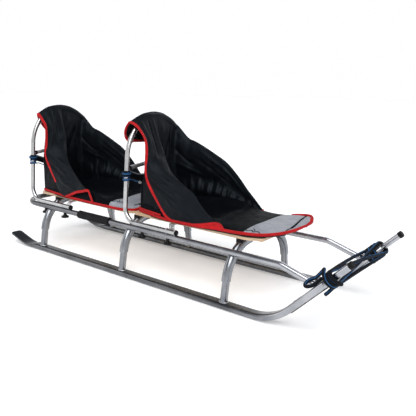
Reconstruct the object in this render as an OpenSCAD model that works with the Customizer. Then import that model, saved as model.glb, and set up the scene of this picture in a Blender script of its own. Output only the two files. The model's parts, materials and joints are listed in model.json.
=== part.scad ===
// Two-seat children's sled: two ski-shaped metal runners, three bent arches,
// a U-shaped side rail, two seat boards, two clamped backrest hoops with
// fabric bucket covers, and a tow rope hanked round the runner tips.
// +X is forward, +Z up, the floor is Z = 0, the sled is centred on X and Y.

/* [Overall] */
// Distance between the centre lines of the two runners
track = 340; // [330:1:350]
// Position of the middle arch along the sled
mid_x = -98; // [-98:1:-98]
// Distance from one arch to the next
arch_pitch = 400; // [390:1:405]
// Distance from one seat to the next
seat_pitch = 478; // [478:1:482]

/* [Runners] */
// Width of the flattened oval runner tube
runner_w = 36; // [34:1:38]
// Height of the flattened oval runner tube
runner_h = 19; // [19:1:19]
// Diameter of the round tube at the raised front end
tip_d = 17.2; // [16:0.2:18]
// Point where the straight runner and the raised front would meet
rise_x = 463; // [463:1:463]
// Slope of the raised front
rise_angle = 45; // [45:1:45]
// Radius of the front bend
rise_r = 163; // [150:1:170]
// Length of the raised front, measured from the meeting point
rise_len = 286; // [280:1:286]
// Width of the flattened tail
tail_w = 42; // [40:1:44]
// Thickness of the flattened tail
tail_t = 5; // [4:0.5:6]

/* [Arches] */
// Depth of the arch tube along the sled
arch_w = 24; // [22:1:24]
// Thickness of the arch tube in the plane of its bend
arch_t = 19; // [19:1:19]
// Radius of the arch's shoulder, on its centre line
arch_r = 114; // [114:1:114]
// Lean of the arch's legs from upright
arch_lean = 8; // [8:1:8]

/* [Side rail] */
// Diameter of the side rail tube
rail_d = 18; // [17:0.5:18]
// Height of the side rail's centre above the floor
rail_z = 156; // [156:1:156]
// Distance from the middle of the sled to the side rail's centre
rail_y = 142; // [142:1:142]
// Radius of the side rail's rear corners
rail_corner_r = 95; // [80:1:100]
// Position of the rear cross tube
cross_x = -659; // [-659:1:-655]
// Where the side rail bends down at the front
rail_bend_x = 458; // [450:1:460]
// Where the side rail ends at the raised front
rail_end_x = 571; // [565:1:573]
// Outer diameter of the rubber grip on the side rail
grip_d = 27; // [25:0.5:28]

/* [Seats] */
// Width of a seat board
board_w = 204; // [200:1:208]
// Thickness of a seat board
board_t = 8; // [8:1:8]
// Diameter of the backrest hoop tube
hoop_d = 15; // [14:0.5:15]
// Radius of the hoop's round top, on its centre line
hoop_r = 129.5; // [129.5:0.5:129.5]
// Height of the centre of the hoop's round top
hoop_top_z = 367.5; // [365:0.5:368]
// Radius of the hoop's lower bends
hoop_bend_r = 48; // [45:1:50]
// Thickness of the seat pad
pad_t = 12; // [10:1:14]

/* [Hidden] */
$fn = 48;

run_y = track / 2;
run_z = runner_h / 2;
tube_steel = [0.72, 0.73, 0.75];
fabric_black = [0.09, 0.09, 0.1];
hoop_x = mid_x - 12;
foot_z = rail_z + (rail_d + hoop_d) / 2;
foot_end = 212;
board_z = 62 + arch_r + arch_t / 2;
pad_z = board_z + board_t + 0.2;
gap = 0.4;
// A bend is a hair slimmer than the straights and runs a millimetre into them
slim = 0.1;
function deg_mm(r) = 180 / (PI * r);
sd = [-1, 1];

// ---- shared shapes -------------------------------------------------------

// Flat oval, w wide and h high
module oval(w, h) {
    square([w - h, h], center = true);
    for (s = sd) translate([s * (w - h) / 2, 0]) circle(d = h);
}
// Extrudes a section along +X, with the section's x on Y and its y on Z
module along_x(l) { rotate([90, 0, 90]) linear_extrude(l) children(); }
// Bend in the XZ plane about an axis along Y, from angle a0 through da, section centred on radius r
module bend_xz(r, a0, da) { rotate([90, 0, 0]) rotate([0, 0, a0 - deg_mm(r)]) rotate_extrude(angle = da + 2 * deg_mm(r)) translate([r, 0]) children(); }

// ---- runners --------------------------------------------------------------

// Point on the raised front's centre line, t along it from the meeting point
function rise_pt(t) = [rise_x + t * cos(rise_angle), run_z + t * sin(rise_angle)];
rise_tan = rise_r * tan(rise_angle / 2);
oval_end = 196;
flat_x = mid_x - 437;
tail_bend_r = 150;
tail_angle = 17;

module on_rise(t, y) {
    p = rise_pt(t);
    translate([p[0], y, p[1]]) rotate([0, -rise_angle, 0]) children();
}

module runner(y) {
    color(tube_steel) {
        // straight length on the floor
        translate([flat_x, y, run_z]) along_x(rise_x - rise_tan - flat_x) oval(runner_w, runner_h);
        // front bend and raised front
        translate([rise_x - rise_tan, y, run_z + rise_r]) bend_xz(rise_r, -90, rise_angle) rotate(90) oval(runner_w - slim, runner_h - slim);
        on_rise(rise_tan, y) along_x(oval_end - rise_tan) oval(runner_w, runner_h);
        hull() {
            on_rise(oval_end - 1, y) along_x(1.5) oval(runner_w - 0.3, runner_h - 0.3);
            on_rise(oval_end + 15.5, y) along_x(1.5) circle(d = tip_d - 0.3, $fn = 32);
        }
        on_rise(oval_end + 16, y) along_x(rise_len - oval_end - 16 - 2) circle(d = tip_d);
        // pressed-flat tail, bent up
        hull() {
            translate([flat_x - 0.5, y, run_z]) along_x(1.5) oval(runner_w - 0.3, runner_h - 0.3);
            translate([flat_x - 27, y, run_z]) along_x(1.5) square([tail_w - 0.3, tail_t - 0.3], center = true);
        }
        translate([flat_x - 26, y, run_z + tail_bend_r]) mirror([1, 0, 0]) bend_xz(tail_bend_r, -90, tail_angle) square([tail_t - slim, tail_w - slim], center = true);
        translate([flat_x - 26 - tail_bend_r * sin(tail_angle), y, run_z + tail_bend_r * (1 - cos(tail_angle))])
            rotate([0, tail_angle, 0]) translate([0, 0, -tail_t / 2]) mirror([1, 0, 0]) linear_extrude(tail_t) {
                translate([0, -tail_w / 2]) square([57, tail_w]);
                translate([0, -tail_w / 2 + 10]) square([67, tail_w - 20]);
                for (s = sd) translate([57, s * (tail_w / 2 - 10)]) circle(r = 10);
            }
    }
}
module runner_left() { runner(run_y); }
module runner_right() { runner(-run_y); }
module runner_tip_caps() {
    // cup over the end of the tip
    color([0.07, 0.07, 0.07]) for (s = sd) on_rise(rise_len - 2, s * run_y) {
        translate([-8, 0, 0]) along_x(8.1) difference() { circle(d = tip_d + 2); circle(d = tip_d + 0.1); }
        along_x(1.5) circle(d = tip_d + 2);
        translate([1.5, 0, 0]) along_x(0.8) circle(d = tip_d - 1);
    }
}

// ---- arches ---------------------------------------------------------------

arch_cy = run_y - 121.4;
arch_cz = 62;
module arch_half(s) {
    // shoulder, turning from the leaning leg to level
    translate([0, s * arch_cy, arch_cz]) rotate([0, 0, s > 0 ? 0 : 180]) rotate([90, 0, 90])
        rotate([0, 0, arch_lean - deg_mm(arch_r)]) rotate_extrude(angle = 90 - arch_lean + 2 * deg_mm(arch_r)) translate([arch_r, 0]) oval(arch_t - slim, arch_w - slim);
    // leg, cut level where it stands on the runner
    intersection() {
        translate([0, s * (arch_cy + arch_r * cos(arch_lean)), arch_cz + arch_r * sin(arch_lean)])
            rotate([180 + s * arch_lean, 0, 0]) linear_extrude(75) rotate(90) oval(arch_w, arch_t);
        translate([-30, -220, runner_h]) cube([60, 440, 120]);
    }
}
module arch(x) {
    color(tube_steel) translate([x, 0, 0]) {
        for (s = sd) arch_half(s);
        translate([0, -arch_cy, arch_cz + arch_r]) rotate([-90, 0, 0]) linear_extrude(2 * arch_cy) oval(arch_w, arch_t);
    }
}
module arch_rear() { arch(mid_x - arch_pitch); }
module arch_middle() { arch(mid_x); }
module arch_front() { arch(mid_x + arch_pitch); }

// ---- side rail ------------------------------------------------------------

rail_slope = 16.4;
module side_rail(s) {
    color(tube_steel) translate([0, s * rail_y, rail_z]) {
        translate([cross_x + rail_corner_r, 0, 0]) along_x(rail_bend_x - 6 - cross_x - rail_corner_r) circle(d = rail_d);
        translate([rail_bend_x - 6, 0, -40]) bend_xz(40, 90 - rail_slope, rail_slope) circle(d = rail_d - slim);
        translate([rail_bend_x - 6 + 40 * sin(rail_slope), 0, -40 * (1 - cos(rail_slope))])
            rotate([0, rail_slope, 0]) along_x((rail_end_x - rail_bend_x - 5) / cos(rail_slope)) circle(d = rail_d);
        // quarter bend towards the rear cross tube
        translate([cross_x + rail_corner_r, -s * rail_corner_r, 0]) rotate([0, 0, s > 0 ? 90 - deg_mm(rail_corner_r) : 180])
            rotate_extrude(angle = 90 + deg_mm(rail_corner_r)) translate([rail_corner_r, 0]) circle(d = rail_d - slim);
    }
}
module side_rail_left() { side_rail(1); }
module side_rail_right() { side_rail(-1); }
module rear_cross_tube() {
    color(tube_steel) translate([cross_x, -rail_y + rail_corner_r, rail_z]) rotate([-90, 0, 0])
        linear_extrude(2 * (rail_y - rail_corner_r)) circle(d = rail_d);
}
module rail_grips() {
    color([0.09, 0.09, 0.09]) for (s = sd) translate([mid_x - 231, s * rail_y, rail_z]) along_x(147)
        difference() { circle(d = grip_d); circle(d = rail_d + 0.2); }
}

// ---- seat boards and brackets ---------------------------------------------

// Board from x0 to x1 with front corners of radius rf and rear corners of radius rr
module board(x0, x1, rf, rr) {
    color([0.8, 0.66, 0.5]) translate([0, 0, board_z]) linear_extrude(board_t) {
        translate([x0 + rr, -board_w / 2]) square([x1 - x0 - rr - rf, board_w]);
        translate([x0, -board_w / 2 + rr]) square([x1 - x0, board_w - 2 * rr - (rf - rr) * 2]);
        translate([x0, -board_w / 2 + rf]) square([x1 - x0, board_w - 2 * rf]);
        for (s = sd) {
            translate([x1 - rf, s * (board_w / 2 - rf)]) circle(r = rf);
            translate([x0 + rr, s * (board_w / 2 - rr)]) circle(r = rr);
        }
        translate([x0, -board_w / 2 + rr]) square([rr + 1, board_w - 2 * rr]);
    }
}
board_x0 = mid_x - 17;
module seat_board_rear() { board(board_x0 - seat_pitch, board_x0 - 2, 20, 14); }
module seat_board_front() { board(board_x0, board_x0 + 482, 58, 14); }

bracket_x = mid_x + 161;
module bracket() {
    // curved flat strip from the rail's inner side up and in under the board
    y0 = rail_y - rail_d / 2;
    r = board_z - rail_z - 6;
    translate([0, y0 - r, rail_z + 6]) rotate([90, 0, 90]) linear_extrude(18) difference() {
        circle(r = r);
        circle(r = r - 3);
        translate([-60, -60]) square([120, 60]);
        translate([-60, -60]) square([60, 120]);
    }
    translate([0, y0 - 3, rail_z]) cube([18, 3, 6]);
    translate([0, y0 - r - 22, board_z - 3]) cube([18, 22, 3]);
}
// Stepped strip: foot flat on the rail's inner side, level step inwards, upright, then a flat under the board
module bracket_straight() {
    y0 = rail_y - rail_d / 2;
    translate([-15, 0, 0]) rotate([90, 0, 90]) linear_extrude(20) polygon([[y0, rail_z - 6], [y0, rail_z + 4.5],
        [110.5, rail_z + 4.5], [110.5, board_z], [84, board_z], [84, board_z - 3], [107.5, board_z - 3], [107.5, rail_z + 1.5],
        [y0 - 3, rail_z + 1.5], [y0 - 3, rail_z - 6]]);
}
module board_brackets() {
    color(tube_steel) for (s = [0, 1]) mirror([0, s, 0]) {
        translate([bracket_x - seat_pitch, 0, 0]) bracket();
        translate([bracket_x, 0, 0]) bracket_straight();
    }
}

// ---- backrest hoops --------------------------------------------------------

// The hoop's legs lean inwards by hoop_lean and run into the round top
hoop_lean = 4;
leg_foot_y = rail_y;
module hoop(x) {
    leg_y1 = hoop_r * cos(hoop_lean);
    leg_z1 = hoop_top_z + hoop_r * sin(hoop_lean);
    leg_l = (leg_z1 - foot_z - hoop_bend_r * cos(hoop_lean)) / cos(hoop_lean);
    foot_y = leg_y1 + (leg_z1 - foot_z) * tan(hoop_lean);
    color(tube_steel) translate([x, 0, 0]) {
        // round top
        translate([0, 0, hoop_top_z]) rotate([90, 0, 90]) rotate([0, 0, hoop_lean - deg_mm(hoop_r)])
            rotate_extrude(angle = 180 - 2 * hoop_lean + 2 * deg_mm(hoop_r)) translate([hoop_r, 0]) circle(d = hoop_d - slim);
        for (s = sd) {
            // leg
            translate([0, s * leg_y1, leg_z1]) rotate([180 + s * hoop_lean, 0, 0]) linear_extrude(leg_l) circle(d = hoop_d);
            // lower bend and foot, lying on the rail
            translate([0, s * foot_y, foot_z]) rotate([s * hoop_lean, 0, 0]) {
                translate([hoop_bend_r, 0, hoop_bend_r]) bend_xz(hoop_bend_r, -180, 90) circle(d = hoop_d - slim);
                translate([hoop_bend_r, 0, 0]) along_x(foot_end - hoop_bend_r) circle(d = hoop_d);
            }
        }
    }
}
module hoop_rear() { hoop(hoop_x - seat_pitch); }
module hoop_front() { hoop(hoop_x); }
hoop_foot_y = hoop_r * cos(hoop_lean) + (hoop_top_z + hoop_r * sin(hoop_lean) - foot_z) * tan(hoop_lean);
module hoop_end_caps() {
    color([0.07, 0.07, 0.07]) for (k = [0, 1]) for (s = sd)
        translate([hoop_x - k * seat_pitch + foot_end, s * hoop_foot_y, foot_z]) {
            along_x(4) circle(d = hoop_d + 1.6);
            translate([4, 0, 0]) along_x(1.5) circle(d = hoop_d - 1.5);
        }
}
// Slightly arched tube between the legs, behind the back panel
bar_z = 338;
bar_rise = 10;
module hoop_crossbar(x) {
    y = hoop_r * cos(hoop_lean) + (hoop_top_z + hoop_r * sin(hoop_lean) - bar_z) * tan(hoop_lean);
    r = (y * y + bar_rise * bar_rise) / (2 * bar_rise);
    half = asin(y / r);
    color(tube_steel) difference() {
        translate([x, 0, bar_z + bar_rise - r]) rotate([90, 0, 90]) rotate([0, 0, 90 - half])
            rotate_extrude(angle = 2 * half) translate([r, 0]) circle(d = 13);
        for (s = sd) translate([x, s * y, bar_z]) rotate([s * hoop_lean, 0, 0]) cylinder(d = hoop_d, h = 60, center = true);
    }
}
module hoop_crossbar_rear() { hoop_crossbar(hoop_x - seat_pitch); }
module hoop_crossbar_front() { hoop_crossbar(hoop_x); }

// Hand knobs under the rail that clamp the hoop's feet
module clamp_knobs() {
    color([0.06, 0.06, 0.06]) for (k = [0, 1]) for (s = sd) for (dx = [74, 180])
        difference() {
            translate([hoop_x - k * seat_pitch + dx, s * rail_y, rail_z - rail_d / 2 - 15]) {
                translate([0, 0, 5]) cylinder(d1 = 18, d2 = 11, h = 6);
                cylinder(d = 26, h = 5);
                translate([0, 0, 11]) cylinder(d = 10, h = 8);
            }
            translate([-700, s * rail_y, rail_z]) along_x(1000) circle(d = rail_d);
        }
}

// Cord turns round the hoop's legs and the strap slung between them
lash_z = 316;
strap_sag = 28;
module lashing(x) {
    y = hoop_r * cos(hoop_lean) + (hoop_top_z + hoop_r * sin(hoop_lean) - lash_z) * tan(hoop_lean);
    ye = y - 12;
    r = (ye * ye + strap_sag * strap_sag) / (2 * strap_sag);
    half = asin(ye / r);
    color([0.05, 0.06, 0.09]) {
        for (s = sd) translate([x, s * y, lash_z]) rotate([s * hoop_lean, 0, 0]) translate([0, 0, -15]) linear_extrude(29.5)
            difference() { circle(d = 29); circle(d = hoop_d + 0.4); }
        // slack strap, sagging between the legs
        translate([x - 12, 0, lash_z + 8 - strap_sag + r]) rotate([90, 0, 90]) rotate([0, 0, -90 - half])
            rotate_extrude(angle = 2 * half) translate([r - 11, 0]) square([22, 3]);
    }
}
module lashing_rear() { lashing(hoop_x - seat_pitch); }
module lashing_front() { lashing(hoop_x); }

// ---- fabric covers ---------------------------------------------------------

pad_x0 = mid_x - 6;
module pad(x0, x1, rf) {
    color(fabric_black) translate([0, 0, pad_z]) linear_extrude(pad_t) {
        translate([x0, -108]) square([x1 - x0 - rf, 216]);
        translate([x0, -108 + rf]) square([x1 - x0, 216 - 2 * rf]);
        for (s = sd) translate([x1 - rf, s * (108 - rf)]) circle(r = rf);
    }
}
module seat_pad_rear() { pad(pad_x0 - seat_pitch, pad_x0 - 4, 20); }
module seat_pad_front() { pad(pad_x0, pad_x0 + 508, 60); }

panel_x = hoop_x + hoop_d / 2 + 0.7;
cover_z = pad_z + pad_t + 0.3;
module back_panel(dx) {
    // narrow below the lashing, wider towards the hoop's round top
    color(fabric_black) translate([panel_x + dx, 0, 0]) along_x(5) intersection() {
        translate([0, hoop_top_z]) circle(r = hoop_r + hoop_d / 2);
        union() {
            translate([-75, cover_z]) square([150, 300]);
            polygon([[-75, 340], [75, 340], [106, 430], [106, 480], [-106, 480], [-106, 430]]);
        }
    }
    color(fabric_black) translate([panel_x + dx, 0, 0]) along_x(5) translate([-75, cover_z]) square([150, 60]);
}
module back_panel_rear() { back_panel(-seat_pitch); }
module back_panel_front() { back_panel(0); }
module hood(dx) {
    color(fabric_black) translate([dx, 0, 0]) {
        // band over the hoop's round top
        translate([hoop_x - hoop_d / 2 - 5, 0, hoop_top_z]) along_x(hoop_d + 10.7) intersection() {
            difference() { circle(r = hoop_r + hoop_d / 2 + 3.6); circle(r = hoop_r + hoop_d / 2 + gap); }
            translate([-108, 0]) square([216, 300]);
        }
        // flap that hangs behind the hoop
        translate([hoop_x - hoop_d / 2 - 5, 0, 0]) along_x(4.4) intersection() {
            translate([0, hoop_top_z]) circle(r = hoop_r + hoop_d / 2 + 2);
            translate([-104, 424]) square([208, 200]);
        }
    }
}
module hood_rear() { hood(-seat_pitch); }
module hood_front() { hood(0); }

// Side wing: outline in X and Z, stood on the pad's side and leaning outwards
wing_outline = [[-72, 430], [-52, 412], [-20, 398], [40, 366], [90, 340], [130, 308], [165, 270], [205, 236], [236, 217],
    [236, 208], [50, 208], [18, 220], [-6, 250], [-36, 288], [-52, 330], [-62, 380], [-76, 410]];
module wing(dx, s) {
    // closed sheet, 6 mm thick, standing beside the pad
    color(fabric_black) translate([dx, s * 107 + 3, 0]) rotate([90, 0, 0]) linear_extrude(6) polygon(wing_outline);
}
module wing_left_rear() { wing(-seat_pitch, 1); }
module wing_right_rear() { wing(-seat_pitch, -1); }
module wing_left_front() { wing(0, 1); }
module wing_right_front() { wing(0, -1); }

// ---- tow rope ---------------------------------------------------------------

// The cord goes round both raised tips in long loops; strand is its diameter
strand = 9.4;
near_t = [205, 233];
far_t = [160, 218];
loop_r = 16.8;
module tow_rope_hank() {
    color([0.05, 0.06, 0.1]) difference() {
        union() {
            // turns on the right and the left tip
            on_rise(near_t[0], -run_y) along_x(near_t[1] - near_t[0]) oval(2 * loop_r + strand + 8, 2 * loop_r + strand);
            on_rise(far_t[0], run_y) along_x(far_t[1] - far_t[0]) oval(2 * loop_r + strand + 11, 2 * loop_r + strand);
            // upper and lower runs of strands from tip to tip
            for (s = sd) hull() {
                on_rise(206 + (s > 0 ? 6 : 0), -run_y) translate([0, 0, s * loop_r - strand / 2 + 0.3]) cube([19, 1, strand - 0.6]);
                on_rise(s > 0 ? 161 : 198, run_y) translate([0, 0, s * loop_r - strand / 2 + 0.3]) cube([19, 1, strand - 0.6]);
            }
        }
        for (s = sd) on_rise(140, s * run_y) {
            along_x(73) oval(runner_w + 0.6, runner_h + 0.6);
            along_x(140) circle(d = tip_d + 0.6);
        }
    }
}
// Looped tail of the cord, lying over the end of the side rail
module tow_rope_bight() {
    color([0.05, 0.06, 0.1]) on_rise(163, -run_y + 12) translate([0, 0, 25.6]) rotate([0, 20, 0]) rotate([20, 0, 0])
        translate([0, 0, -strand / 2]) linear_extrude(strand) difference() { oval(57, 43); oval(38.2, 24.2); }
}

runner_left();
runner_right();
runner_tip_caps();
arch_rear();
arch_middle();
arch_front();
side_rail_left();
side_rail_right();
rear_cross_tube();
rail_grips();
seat_board_rear();
seat_board_front();
board_brackets();
hoop_rear();
hoop_front();
hoop_end_caps();
hoop_crossbar_rear();
hoop_crossbar_front();
clamp_knobs();
lashing_rear();
lashing_front();
seat_pad_rear();
seat_pad_front();
back_panel_rear();
back_panel_front();
hood_rear();
hood_front();
wing_left_rear();
wing_right_rear();
wing_left_front();
wing_right_front();
tow_rope_hank();
tow_rope_bight();
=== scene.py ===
"""Looks of the tandem sled: materials, sewn covers, tow rope, welds, floor, light and camera."""
import json
import math

import bpy
import numpy as np
from mathutils import Matrix, Vector, noise


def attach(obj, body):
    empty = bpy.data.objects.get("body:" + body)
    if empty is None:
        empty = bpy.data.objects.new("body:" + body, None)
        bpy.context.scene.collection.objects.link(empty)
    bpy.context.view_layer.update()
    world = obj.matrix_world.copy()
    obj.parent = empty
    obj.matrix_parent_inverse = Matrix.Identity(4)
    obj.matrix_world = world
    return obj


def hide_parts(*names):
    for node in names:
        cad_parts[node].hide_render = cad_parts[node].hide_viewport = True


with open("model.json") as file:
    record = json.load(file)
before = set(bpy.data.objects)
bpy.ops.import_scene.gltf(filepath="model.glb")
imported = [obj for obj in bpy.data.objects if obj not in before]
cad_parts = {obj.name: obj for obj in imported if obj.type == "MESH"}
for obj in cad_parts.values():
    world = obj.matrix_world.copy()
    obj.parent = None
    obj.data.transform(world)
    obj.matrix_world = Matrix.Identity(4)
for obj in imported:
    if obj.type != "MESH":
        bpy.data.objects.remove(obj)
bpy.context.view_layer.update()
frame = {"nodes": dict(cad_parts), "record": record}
MM = 0.001
SEAT = 478.0          # distance between the two seats, mm

# ---------------------------------------------------------------- camera
az, el, roll = (math.radians(a) for a in (36.936, 13.629, 1.291))
back = Vector((math.sin(az) * math.cos(el), -math.cos(az) * math.cos(el), math.sin(el)))
right = Vector((math.cos(az), math.sin(az), 0))
up = back.cross(right)
r2 = right * math.cos(roll) + up * math.sin(roll)
u2 = -right * math.sin(roll) + up * math.cos(roll)
cam_data = bpy.data.cameras.new("camera")
cam = bpy.data.objects.new("camera", cam_data)
bpy.context.scene.collection.objects.link(cam)
m = Matrix((r2, u2, back)).transposed().to_4x4()
m.translation = Vector((1.1335, -1.3583, 0.6371))
cam.matrix_world = m
cam_data.lens = 48.35
cam_data.sensor_width = 36
cam_data.clip_start = 0.01
bpy.context.scene.camera = cam


# ---------------------------------------------------------------- small helpers
def link(obj):
    bpy.context.scene.collection.objects.link(obj)
    return obj


def mesh_obj(name, verts, faces, mat, uvs=None, smooth=True, mats=None, face_mat=None):
    """verts in mm; uvs is one pair per vertex."""
    me = bpy.data.meshes.new(name)
    me.from_pydata([tuple(float(c) * MM for c in v) for v in verts], [], [tuple(map(int, f)) for f in faces])
    me.update()
    if smooth:
        me.polygons.foreach_set("use_smooth", [True] * len(me.polygons))
    if uvs is not None:
        layer = me.uv_layers.new(name="UVMap")
        idx = np.empty(len(me.loops), dtype=np.int64)
        me.loops.foreach_get("vertex_index", idx)
        layer.data.foreach_set("uv", np.asarray(uvs, dtype=np.float32)[idx].ravel())
    for mt in (mats or [mat]):
        me.materials.append(mt)
    if face_mat is not None:
        me.polygons.foreach_set("material_index", [int(k) for k in face_mat])
    ob = link(bpy.data.objects.new(name, me))
    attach(ob, "root")
    return ob


def catmull(pts, n, closed=False):
    """n points spaced evenly along a smooth curve through pts."""
    p = np.asarray(pts, float)
    if closed:
        p = np.vstack([p[-1], p, p[0], p[1]])
    else:
        p = np.vstack([2 * p[0] - p[1], p, 2 * p[-1] - p[-2]])
    out = []
    for i in range(1, len(p) - 2):
        p0, p1, p2, p3 = p[i - 1], p[i], p[i + 1], p[i + 2]
        d1 = max(np.linalg.norm(p1 - p0), 1e-6) ** 0.5
        d2 = max(np.linalg.norm(p2 - p1), 1e-6) ** 0.5
        d3 = max(np.linalg.norm(p3 - p2), 1e-6) ** 0.5
        m1 = (p2 - p1) / d2 - (p2 - p0) / (d1 + d2) + (p1 - p0) / d1
        m2 = (p3 - p2) / d3 - (p3 - p1) / (d2 + d3) + (p2 - p1) / d2
        m1, m2 = m1 * d2, m2 * d2
        for t in np.linspace(0, 1, 24, endpoint=False):
            h = (2 * t**3 - 3 * t**2 + 1, t**3 - 2 * t**2 + t, -2 * t**3 + 3 * t**2, t**3 - t**2)
            out.append(h[0] * p1 + h[1] * m1 + h[2] * p2 + h[3] * m2)
    out.append(p[-2])
    out = np.array(out)
    s = np.concatenate([[0], np.cumsum(np.linalg.norm(np.diff(out, axis=0), axis=1))])
    want = np.linspace(0, s[-1], n + 1 if closed else n)
    res = np.stack([np.interp(want, s, out[:, k]) for k in range(3)], axis=1)
    return res[:-1] if closed else res


def frames(path, up_hint=(0, 0, 1)):
    """Tangent, side and normal along a path, without twist jumps."""
    p = np.asarray(path, float)
    t = np.gradient(p, axis=0)
    t /= np.linalg.norm(t, axis=1)[:, None]
    n = np.array(up_hint, float)
    n = n - t[0] * n.dot(t[0])
    if np.linalg.norm(n) < 1e-3:
        n = np.array((1.0, 0, 0)) - t[0] * t[0][0]
    n /= np.linalg.norm(n)
    ns = [n]
    for i in range(1, len(p)):
        v = p[i] - p[i - 1]
        c = v.dot(v)
        rl = ns[-1] - v * (2 / c) * v.dot(ns[-1]) if c > 1e-12 else ns[-1]
        tl = t[i - 1] - v * (2 / c) * v.dot(t[i - 1]) if c > 1e-12 else t[i - 1]
        v2 = t[i] - tl
        c2 = v2.dot(v2)
        if c2 > 1e-12:
            rl = rl - v2 * (2 / c2) * v2.dot(rl)
        rl -= t[i] * rl.dot(t[i])
        rl /= np.linalg.norm(rl)
        ns.append(rl)
    ns = np.array(ns)
    return t, np.cross(t, ns), ns


def sweep(path, section, normals=None, closed=False, caps=True):
    """Verts, faces and uvs of a section (list of (side, normal) offsets) swept along a path."""
    p = np.asarray(path, float)
    t, sd, nm = frames(p)
    if normals is not None:
        nm = np.asarray(normals, float)
        nm = nm - t * (nm * t).sum(1)[:, None]
        nm /= np.maximum(np.linalg.norm(nm, axis=1), 1e-9)[:, None]
        sd = np.cross(t, nm)
    sec = np.asarray(section, float)
    k = len(sec)
    per = np.concatenate([[0], np.cumsum(np.linalg.norm(np.roll(sec, -1, 0) - sec, axis=1))])
    per = per[:-1] / per[-1]
    s = np.concatenate([[0], np.cumsum(np.linalg.norm(np.diff(p, axis=0), axis=1))])
    v, uv, f = [], [], []
    for i in range(len(p)):
        for j in range(k):
            v.append(p[i] + sd[i] * sec[j, 0] + nm[i] * sec[j, 1])
            uv.append((s[i] * MM, per[j]))
    n = len(p)
    rng = n if closed else n - 1
    for i in range(rng):
        a, b = i * k, ((i + 1) % n) * k
        for j in range(k):
            j2 = (j + 1) % k
            f.append((a + j, b + j, b + j2, a + j2))
    if caps and not closed:
        f.append(tuple(range(k)))
        f.append(tuple(range((n - 1) * k, n * k))[::-1])
    return v, f, uv


def ring(rx, ry=None, k=16):
    ry = rx if ry is None else ry
    return [(rx * math.cos(a), ry * math.sin(a)) for a in np.linspace(0, 2 * math.pi, k, endpoint=False)]


def fit_curve(c, n):
    return catmull(c, n)


def coons(top, bottom, left, rightc, nu, nv):
    """Grid [v][u] between four boundary curves: left/right run down from top to bottom."""
    T, B = catmull(top, nu), catmull(bottom, nu)
    L, Rr = catmull(left, nv), catmull(rightc, nv)
    u = np.linspace(0, 1, nu)[None, :, None]
    v = np.linspace(0, 1, nv)[:, None, None]
    g = (1 - v) * T[None] + v * B[None] + (1 - u) * L[:, None] + u * Rr[:, None]
    g -= (1 - u) * (1 - v) * T[0] + u * (1 - v) * T[-1] + (1 - u) * v * B[0] + u * v * B[-1]
    return g


def grid_normals(g):
    du = np.gradient(g, axis=1)
    dv = np.gradient(g, axis=0)
    n = np.cross(du, dv)
    n /= np.maximum(np.linalg.norm(n, axis=2), 1e-9)[:, :, None]
    return n


def folds(g, lines, sign=1.0):
    """Push the grid along its normals by soft ridges; each line is ((u,v) points, width, height)."""
    nv, nu = g.shape[:2]
    U, V = np.meshgrid(np.linspace(0, 1, nu), np.linspace(0, 1, nv))
    n = grid_normals(g)
    h = np.zeros((nv, nu))
    for pts, w, a in lines:
        pts = catmull([(x, y, 0) for x, y in pts], 40)[:, :2] if len(pts) > 2 else np.linspace(pts[0], pts[1], 40)
        d = np.full((nv, nu), 9.0)
        best = np.zeros((nv, nu))
        for k, (pu, pv) in enumerate(pts):
            dd = np.hypot(U - pu, V - pv)
            m_ = dd < d
            d = np.where(m_, dd, d)
            best = np.where(m_, k / 39.0, best)
        fade = np.clip(np.sin(np.pi * np.clip(best, 0.02, 0.98)) * 1.6, 0, 1)
        h += a * fade * np.exp(-(d / w) ** 2)
    return g + n * (h * sign)[:, :, None]


def rumple(g, scale, amp, seed, edge=0.08, aniso=(1, 1, 1)):
    """Soft uneven surface, fading out towards the grid's edges."""
    nv, nu = g.shape[:2]
    n = grid_normals(g)
    out = g.copy()
    for i in range(nv):
        for j in range(nu):
            p = g[i, j]
            q = Vector((p[0] * aniso[0] / scale + seed, p[1] * aniso[1] / scale, p[2] * aniso[2] / scale))
            h = noise.noise(q) + 0.45 * noise.noise(q * 2.1 + Vector((7, 3, 1)))
            e = min(j, nu - 1 - j) / (nu - 1)
            e2 = min(i, nv - 1 - i) / (nv - 1)
            w = min(1, e / edge) * min(1, e2 / edge)
            out[i, j] = p + n[i, j] * h * amp * w
    return out


def sheet_mesh(g, th, flip=False):
    """Closed thin shell from a grid, th mm thick, grown to both sides."""
    nv, nu = g.shape[:2]
    n = grid_normals(g) * (-1 if flip else 1)
    a = g + n * th / 2
    b = g - n * th / 2
    V = np.concatenate([a.reshape(-1, 3), b.reshape(-1, 3)])
    o = nv * nu
    f = []
    for i in range(nv - 1):
        for j in range(nu - 1):
            p, q, r, s = i * nu + j, i * nu + j + 1, (i + 1) * nu + j + 1, (i + 1) * nu + j
            f.append((p, q, r, s))
            f.append((o + p, o + s, o + r, o + q))
    rim = [j for j in range(nu - 1)] + [i * nu + nu - 1 for i in range(nv - 1)] + \
          [(nv - 1) * nu + j for j in range(nu - 1, 0, -1)] + [i * nu for i in range(nv - 1, 0, -1)]
    for k in range(len(rim)):
        p, q = rim[k], rim[(k + 1) % len(rim)]
        f.append((q, p, o + p, o + q))
    if flip:
        f = [tuple(reversed(x)) for x in f]
    L1 = np.concatenate([[0], np.cumsum(np.linalg.norm(np.diff(g[nv // 2], axis=0), axis=1))])
    L2 = np.concatenate([[0], np.cumsum(np.linalg.norm(np.diff(g[:, nu // 2], axis=0), axis=1))])
    uv = [(L1[j] * MM, L2[i] * MM) for i in range(nv) for j in range(nu)]
    return V, f, uv + uv


# ---------------------------------------------------------------- materials
def new_mat(name):
    mt = bpy.data.materials.new(name)
    mt.use_nodes = True
    nt = mt.node_tree
    b = nt.nodes["Principled BSDF"]
    return mt, nt, b


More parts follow.
